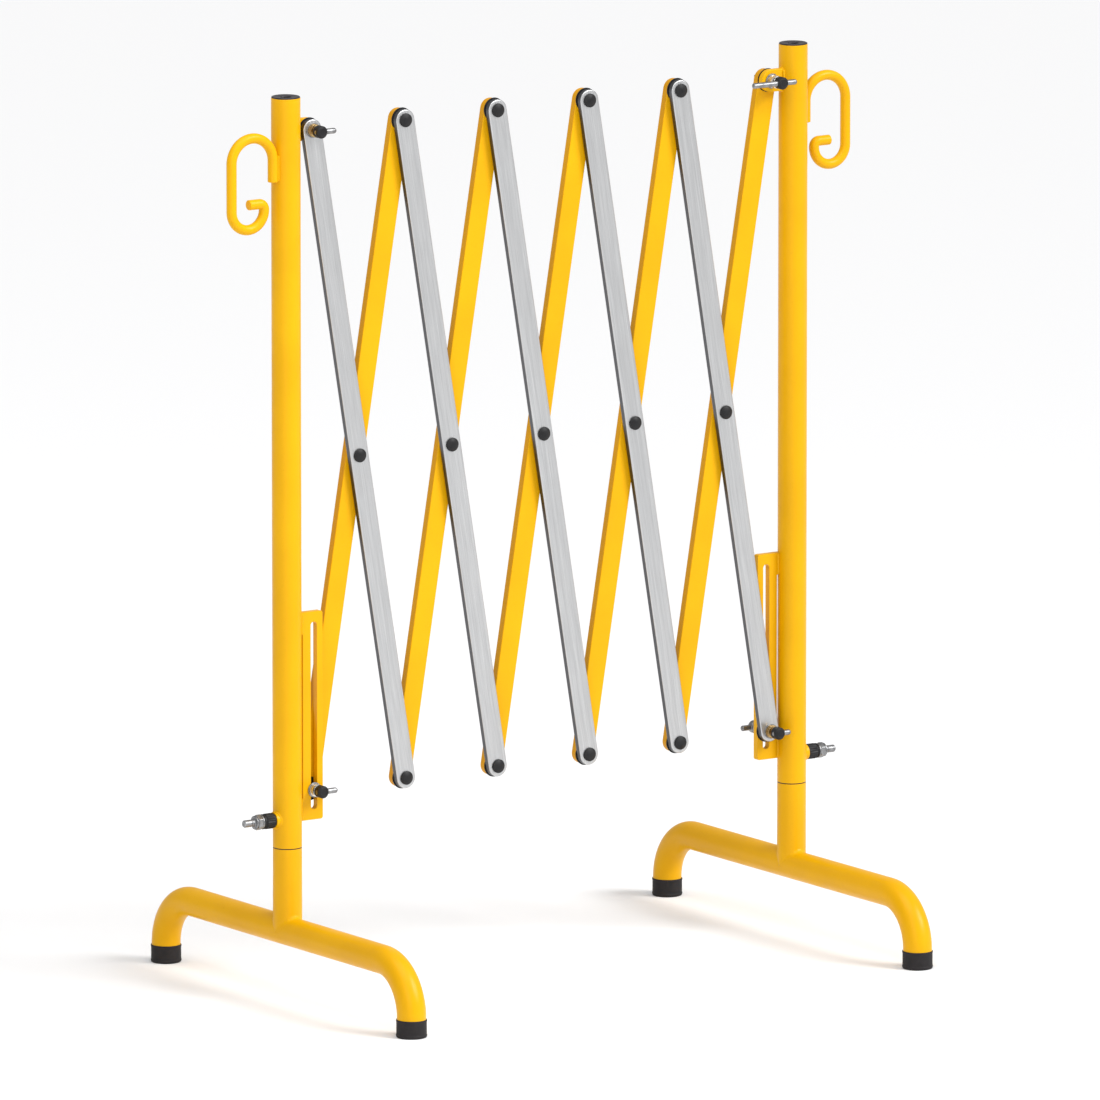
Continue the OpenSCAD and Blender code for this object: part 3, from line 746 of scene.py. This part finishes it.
def makePlungerSleeve(side):
    bm = bmesh.new()
    radius, length, chamber = lockSleeve["radius"], lockSleeve["length"], lockSleeve["chamber"]
    endWall, pin = lockSleeve["endWall"], lockSleeve["pin"]
    outline = [
        (chamber, 0), (radius - 0.9, 0), (radius - 0.5, 0.6), (radius - 0.5, 1.4),
        (radius, 2), (radius, length - 4), (radius - 1, length - 3.4), (radius - 1, length - 2.6),
        (radius - 0.3, length - 2), (radius - 0.3, length - 0.6), (radius - 0.9, length),
        (pin, length), (pin, length - endWall), (chamber, length - endWall),
    ]
    ribs = (1.9, length - 3.9, lockSleeve["ribDepth"])
    turned(bm, outline, outward(bossFaceX), closed=True, steps=48, flutes=ribs)
    bm.transform(postPlaces[side])
    name, nodes = f"{side}PlungerSleeve", [f"{side}_plunger_sleeve"]
    finishPiece(name, bm, f"{side}_post", nodes, blackPlastic, 28)


def hexOutline(width):
    corner = width / 2 / math.cos(math.radians(30))
    turns = [math.radians(60 * i + 30) for i in range(6)]
    return [(corner * math.cos(a), corner * math.sin(a)) for a in turns]


def hexBlock(bm, width, low, high, bore, place, soft=0.7):
    # a hexagon drawn in X and Z and thickened along Y, then stood up along +Z
    stand = Matrix.Rotation(math.radians(90), 4, "X")
    holes = [holeAt(0, 0, bore)] if bore else []
    flatPlate(bm, hexOutline(width), holes, -high, -low, soft, place @ stand.inverted())


def makePlungerPin(side):
    bm = bmesh.new()
    tipX = footStem["spigot"] - footStem["grooveDepth"] + lockPin["grooveGap"]
    pin, collar, flange, stud = (lockPin[key] for key in ("pin", "collar", "flange", "stud"))
    hexX = sleeveEndX + lockPin["hexLength"]
    flangeX = hexX + lockPin["flangeLength"]
    endX = flangeX + lockPin["studLength"]
    collarX = bossFaceX + 1
    shaft = [
        (0, tipX), (pin - 0.6, tipX), (pin, tipX + 0.6), (pin, collarX), (collar, collarX),
        (collar, collarX + lockPin["collarLength"]), (pin, collarX + lockPin["collarLength"]),
        (pin, hexX + 0.2), (0, hexX + 0.2),
    ]
    turned(bm, eased(shaft, 0.3), outward(), steps=32)
    washer, washerX, inside = lockPin["washer"], sleeveEndX + lockPin["washerLength"], pin - 0.2
    ring = [(inside, sleeveEndX), (washer, sleeveEndX), (washer, washerX), (inside, washerX)]
    turned(bm, eased(ring, 0.35, closed=True), outward(), closed=True, steps=48)
    hexBlock(bm, lockPin["hexWidth"] * 0.9, washerX, hexX, 0, outward(), 0.8)
    ends = [
        (0, hexX - 0.1), (flange - 1, hexX - 0.1), (flange, hexX + 0.5), (flange, flangeX - 0.5),
        (flange - 0.8, flangeX), (stud + 1, flangeX), (stud, flangeX + 0.8), (stud, flangeX + 3),
        (stud - 0.5, flangeX + 3.5), (stud - 0.5, flangeX + 4.2), (stud, flangeX + 4.8), (stud, endX - 1.2),
        (stud - 1.1, endX), (0, endX),
    ]
    turned(bm, eased(ends, 0.3), outward(), steps=48)
    bm.transform(postPlaces[side])
    name, nodes = f"{side}PlungerPin", [f"{side}_plunger_pin"]
    finishPiece(name, bm, f"{side}_plunger", nodes, plainSteel)


for side in ("left", "right"):
    makePostTube(side)
    makePostPlug(side)
    makeTopLug(side)
    makeSlotGuide(side)
    makeHook(side)
    makePlungerSleeve(side)
    makePlungerPin(side)
    makeFootStem(side)
    makeSeamShadeRing(side)
    makeFootBar(side)
    makeFootCaps(side)
    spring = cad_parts[f"{side}_plunger_spring"]
    spring.data.materials.clear()
    spring.data.materials.append(plainSteel)
    print(side, "post and foot made")


# Lattice bars with round ends, pinned at both ends and in the middle
latticeBar = {"hole": 4.05, "silverSoft": 1.5, "yellowSoft": 1.2, "endSteps": 36}


def makeBar(name, node, body, place, front, back, soft, material):
    bm = bmesh.new()
    half = barWidth / 2
    steps = latticeBar["endSteps"]
    outline = arcOf(0, 0, half, 0, 180, steps) + arcOf(0, -barLength, half, 180, 360, steps)
    holes = [holeAt(0, z, latticeBar["hole"]) for z in (0, -barLength / 2, -barLength)]
    flatPlate(bm, outline, holes, front, back, soft, place)
    finishPiece(name, bm, body, [node], material)


# Pivots: spindle, a thin washer between the bars and a domed cap on each end
latticePivot = {
    "spindle": 4, "grip": 2.2, "endWasher": 13.75, "midWasher": 11, "washerBore": 4.05, "washerSoft": 0.3,
}
endCap = {"radius": 8, "height": 4, "rim": 1.6, "bore": 4.05, "depth": 2.25, "domeSteps": 10}


def pivotsOf(k):
    # the plain pivots that silver bar k carries, its middle first: clamp screws take the two on a post
    found = [((columns[k - 1] + columns[k]) / 2, midZ)]
    if k > 1:
        found.append((columns[k - 1], topZ))
    if k < barCount:
        found.append((columns[k], lowZ))
    return found


def washerRing(bm, x, z, rim):
    bore, low, high = latticePivot["washerBore"], silverBack + runningGap, yellowFront - runningGap
    ring = [(bore, low), (rim, low), (rim, high), (bore, high)]
    ring = eased(ring, latticePivot["washerSoft"], closed=True)
    turned(bm, ring, pointing((0, 1, 0), x, 0, z), closed=True, steps=72)


def makeSpindles(k):
    bm = bmesh.new()
    rod, grip = latticePivot["spindle"], latticePivot["grip"]
    front, back = silverFront - grip, yellowBack + grip
    outline = eased([(0, front), (rod, front), (rod, back), (0, back)], 0.4)
    for x, z in pivotsOf(k):
        turned(bm, outline, pointing((0, 1, 0), x, 0, z), steps=48)
    finishPiece(f"spindles{k}", bm, f"silver_{k}", [f"spindles_{k}"], plainSteel)


def makeWashers(k):
    bm = bmesh.new()
    middle, *ends = pivotsOf(k)
    washerRing(bm, *middle, latticePivot["midWasher"])
    if k == 1:
        ends.append((columns[0], topZ))
    if k == barCount:
        ends.append((columns[barCount], lowZ))
    for x, z in ends:
        washerRing(bm, x, z, latticePivot["endWasher"])
    finishPiece(f"washers{k}", bm, f"silver_{k}", [f"washers_{k}"], blackWasher)


def makeEndCaps(k):
    bm = bmesh.new()
    radius, height, rim = endCap["radius"], endCap["height"], endCap["rim"]
    crown = height - rim
    ball = (radius ** 2 + crown ** 2) / (2 * crown)
    span = math.asin(radius / ball)
    steps = endCap["domeSteps"]
    turns = [span * i / steps for i in range(steps)]
    dome = [(ball * math.sin(a), height - ball + ball * math.cos(a)) for a in turns]
    bore, depth = endCap["bore"], endCap["depth"]
    skirt = [
        (radius - 0.25, rim + 0.25), (radius, rim - 0.1), (radius, 0.9), (radius - 0.25, 0.75),
        (radius - 0.25, 0.55), (radius, 0.4), (radius - 0.1, 0), (bore, 0), (bore, depth), (0, depth),
    ]
    for x, z in pivotsOf(k):
        turned(bm, dome + skirt, pointing((0, -1, 0), x, silverFront, z), steps=48)
        turned(bm, dome + skirt, pointing((0, 1, 0), x, yellowBack, z), steps=48)
    finishPiece(f"endCaps{k}", bm, f"silver_{k}", [f"end_caps_{k}"], blackPlastic)


for k in range(1, barCount + 1):
    hang = Matrix.Translation((columns[k - 1], 0, topZ)) @ Matrix.Rotation(-barTilt, 4, "Y")
    makeBar(f"silverBar{k}", f"silver_bar_{k}", f"silver_{k}", hang, silverFront, silverBack,
            latticeBar["silverSoft"], barAluminium)
    hang = Matrix.Translation((columns[k], 0, topZ)) @ Matrix.Rotation(barTilt, 4, "Y")
    makeBar(f"yellowBar{k}", f"yellow_bar_{k}", f"yellow_{k}", hang, yellowFront, yellowBack,
            latticeBar["yellowSoft"], barPaint)
    makeSpindles(k)
    makeWashers(k)
    makeEndCaps(k)
print("lattice made")


# Clamp screws: a turned screw with a grooved collar, a black head and a lever pin through it
clampScrew = {
    "rod": 3.96, "washer": 8.75, "washerThick": 1.5, "collar": 7.5, "head": 7.25,
    "headLength": 11, "lever": 3.3, "nutWidth": 13, "nutThick": 6.5, "notches": 0.45,
}
# front and back are the faces that a screw clamps; reach is where its lever starts and ends beside the screw
clamps = {
    "leftTop": {
        "at": (columns[0], topZ), "front": silverFront, "back": plateLayers["left_top_lug"][1],
        "collar": 9, "reach": (-clampScrew["head"], 21), "metal": goldenCollar,
    },
    "leftSlot": {
        "at": (columns[0], lowZ), "front": plateLayers["left_slot_guide"][0], "back": yellowBack,
        "collar": 9, "reach": (-clampScrew["head"], 21), "metal": brightCollar, "spacer": True,
    },
    "rightTop": {
        "at": (columns[barCount], topZ), "front": plateLayers["right_top_lug"][0], "back": yellowBack,
        "collar": 13, "reach": (-40, 21), "metal": brightCollar, "spacer": True,
    },
    "rightSlot": {
        "at": (columns[barCount], lowZ), "front": silverFront, "back": plateLayers["right_slot_guide"][1],
        "collar": 9, "reach": (-clampScrew["head"], 17), "metal": goldenCollar,
        "rearNut": 18, "rearReach": -19, "rearIn": 4.5,
    },
}


def nodeOf(name, part):
    side, place = ("left", name[4:]) if name.startswith("left") else ("right", name[5:])
    return f"{side}_{place.lower()}_{part}"


def plainWasher(bm, place, low, high):
    bore, rim = clampScrew["rod"] + 0.05, clampScrew["washer"]
    ring = [(bore, low), (rim, low), (rim, high), (bore, high)]
    turned(bm, eased(ring, 0.4, closed=True), place, closed=True, steps=48)


def makeScrew(name, clamp):
    # drawn along +Z, which points to the back
    x, z = clamp["at"]
    place = pointing((0, 1, 0), x, 0, z)
    front, back, thick = clamp["front"], clamp["back"], clampScrew["washerThick"]
    rod = clampScrew["rod"]
    end = back + thick + clampScrew["nutThick"]
    bm = bmesh.new()
    turned(bm, eased([(0, front - thick), (rod, front - thick), (rod, end), (0, end)], 0.7), place, steps=32)
    plainWasher(bm, place, front - thick + runningGap, front - runningGap)
    plainWasher(bm, place, back + runningGap, back + thick - runningGap)
    if "rearNut" in clamp:
        near = back + thick
        far = near + clamp["rearNut"]
        rim, bore = clampScrew["collar"], rod + 0.05
        nut = [
            (bore, near), (rim, near), (rim, near + 4), (rim - 0.8, near + 4.6), (rim - 0.8, near + 5.6),
            (rim, near + 6.2), (rim, far - 9.4), (rim - 0.8, far - 8.8), (rim - 0.8, far - 8.2),
            (rim, far - 7.6), (rim, far - 1), (rim - 1, far), (0, far), (0, end + 0.1), (bore, end + 0.1),
        ]
        turned(bm, eased(nut, 0.3, closed=True), place, closed=True, steps=48)
    else:
        hexBlock(bm, clampScrew["nutWidth"], back + thick, end, rod + 0.05, place, 0.6)
    finishPiece(f"{name}Screw", bm, clamp["body"], [nodeOf(name, "screw")], plainSteel)
    bm = bmesh.new()
    face = front - thick
    rim, length = clampScrew["collar"], clamp["collar"]
    neck = face - length
    collar = [
        (0, face), (rim, face), (rim, face - 2.4), (rim - 1.3, face - 2.8), (rim - 1.3, face - 3.6),
        (rim, face - 4.0), (rim, neck + 2.6), (rim - 1.6, neck + 2.2), (rim - 1.6, neck), (0, neck),
    ]
    notch = (neck + 2.4, face - 3.9, clampScrew["notches"])
    turned(bm, collar, place, steps=36, flutes=notch)
    finishPiece(f"{name}Collar", bm, clamp["body"], [], clamp["metal"], 28)
    if "spacer" in clamp:
        bm = bmesh.new()
        washerRing(bm, x, z, latticePivot["endWasher"])
        finishPiece(f"{name}Spacer", bm, clamp["body"], [], blackWasher)


def leverRod(bm, low, high, y, z, x):
    r = clampScrew["lever"]
    outline = [(0, low), (r - 1.2, low), (r, low + 1.2), (r, high - 1.8), (r - 1.8, high), (0, high)]
    turned(bm, eased(outline, 1.1), pointing((1, 0, 0), x, y, z), steps=32)


def makeHead(name, clamp):
    x, z = clamp["at"]
    back = clamp["front"] - clampScrew["washerThick"] - clamp["collar"]
    long, rim = clampScrew["headLength"], clampScrew["head"]
    head = [
        (0, 0), (rim - 0.6, 0), (rim, 0.5), (rim, 1.4), (rim - 0.45, 1.8), (rim - 0.45, 2.2), (rim, 2.6),
        (rim, long - 2), (rim - 1.9, long - 0.1), (rim - 3, long - 0.1),
        (rim - 3.3, long - 0.5), (0, long - 0.6),
    ]
    bm = bmesh.new()
    turned(bm, eased(head, 0.5), pointing((0, -1, 0), x, back, z), steps=48)
    finishPiece(f"{name}Head", bm, clamp["body"], [nodeOf(name, "head")], blackPlastic)
    bm = bmesh.new()
    leverRod(bm, *clamp["reach"], back - long / 2, z, x)
    part = {"rightTop": "bar", "rightSlot": "levers"}.get(name, "lever")
    if "rearNut" in clamp:
        rearY = clamp["back"] + clampScrew["washerThick"] + clamp["rearNut"] - clamp["rearIn"]
        leverRod(bm, clamp["rearReach"], clampScrew["collar"], rearY, z, x)
    finishPiece(f"{name}Lever", bm, clamp["body"], [nodeOf(name, part)], plainSteel)


for name, clamp in clamps.items():
    clamp["body"] = nodeOf(name, "knob")
    makeScrew(name, clamp)
    makeHead(name, clamp)
print("clamp screws made")


# Studio: pale floor, even sky, a soft key from the right, a weak fill and a light above
studio = {
    "floorSize": 120, "floorColour": (0.93, 0.93, 0.935), "sky": 0.52,
    "sun": 2.5, "sunAngle": 28, "sunFrom": (0.52, -0.72, 0.72),
    "fill": 21, "fillAt": (-2.4, -2.6, 1.6), "fillSize": 2.0,
    "top": 40, "topAt": (-0.8, -0.9, 3.1), "topSize": 2.4,
}
lens = {
    "azimuth": -33.82, "elevation": 10.45, "distance": 24,
    "aimRight": 0.0098, "aimHeight": 0.4882, "focal": 680.8,
}

floorMesh = bpy.data.meshes.new("floor")
bm = bmesh.new()
bmesh.ops.create_grid(bm, x_segments=1, y_segments=1, size=studio["floorSize"] / 2)
bm.to_mesh(floorMesh)
bm.free()
floor = bpy.data.objects.new("floor", floorMesh)
bpy.context.scene.collection.objects.link(floor)
floorMaterial = newMaterial("studio floor", {"Base Color": (*studio["floorColour"], 1), "Roughness": 0.9})[0]
floorMesh.materials.append(floorMaterial)

world = bpy.data.worlds.new("studio sky")
world.use_nodes = True
world.node_tree.nodes["Background"].inputs["Color"].default_value = (1, 1, 1, 1)
world.node_tree.nodes["Background"].inputs["Strength"].default_value = studio["sky"]
bpy.context.scene.world = world


def addLight(name, kind, power, position, **extra):
    data = bpy.data.lights.new(name, kind)
    data.energy = power
    for key, value in extra.items():
        setattr(data, key, value)
    light = bpy.data.objects.new(name, data)
    light.location = position
    light.rotation_mode = "QUATERNION"
    aim = Vector((0, 0, 0.5 if kind == "AREA" else 0)) - Vector(position)
    light.rotation_quaternion = aim.to_track_quat("-Z", "Y")
    bpy.context.scene.collection.objects.link(light)


addLight("key", "SUN", studio["sun"], studio["sunFrom"], angle=math.radians(studio["sunAngle"]))
addLight("fill", "AREA", studio["fill"], studio["fillAt"], size=studio["fillSize"])
addLight("top", "AREA", studio["top"], studio["topAt"], size=studio["topSize"])

azimuth, elevation = math.radians(lens["azimuth"]), math.radians(lens["elevation"])
back = Vector((
    math.sin(azimuth) * math.cos(elevation), -math.cos(azimuth) * math.cos(elevation), math.sin(elevation)
))
aim = Vector((math.cos(azimuth), math.sin(azimuth), 0)) * lens["aimRight"] + Vector((0, 0, lens["aimHeight"]))
cameraData = bpy.data.cameras.new("camera")
cameraData.lens = lens["focal"]
cameraData.sensor_width = 36
cameraData.clip_start, cameraData.clip_end = 1, 300
camera = bpy.data.objects.new("camera", cameraData)
camera.location = aim + back * lens["distance"]
camera.rotation_mode = "QUATERNION"
camera.rotation_quaternion = (-back).to_track_quat("-Z", "Y")
bpy.context.scene.collection.objects.link(camera)
bpy.context.scene.camera = camera
bpy.context.scene.view_settings.view_transform = "Standard"
print("studio made")
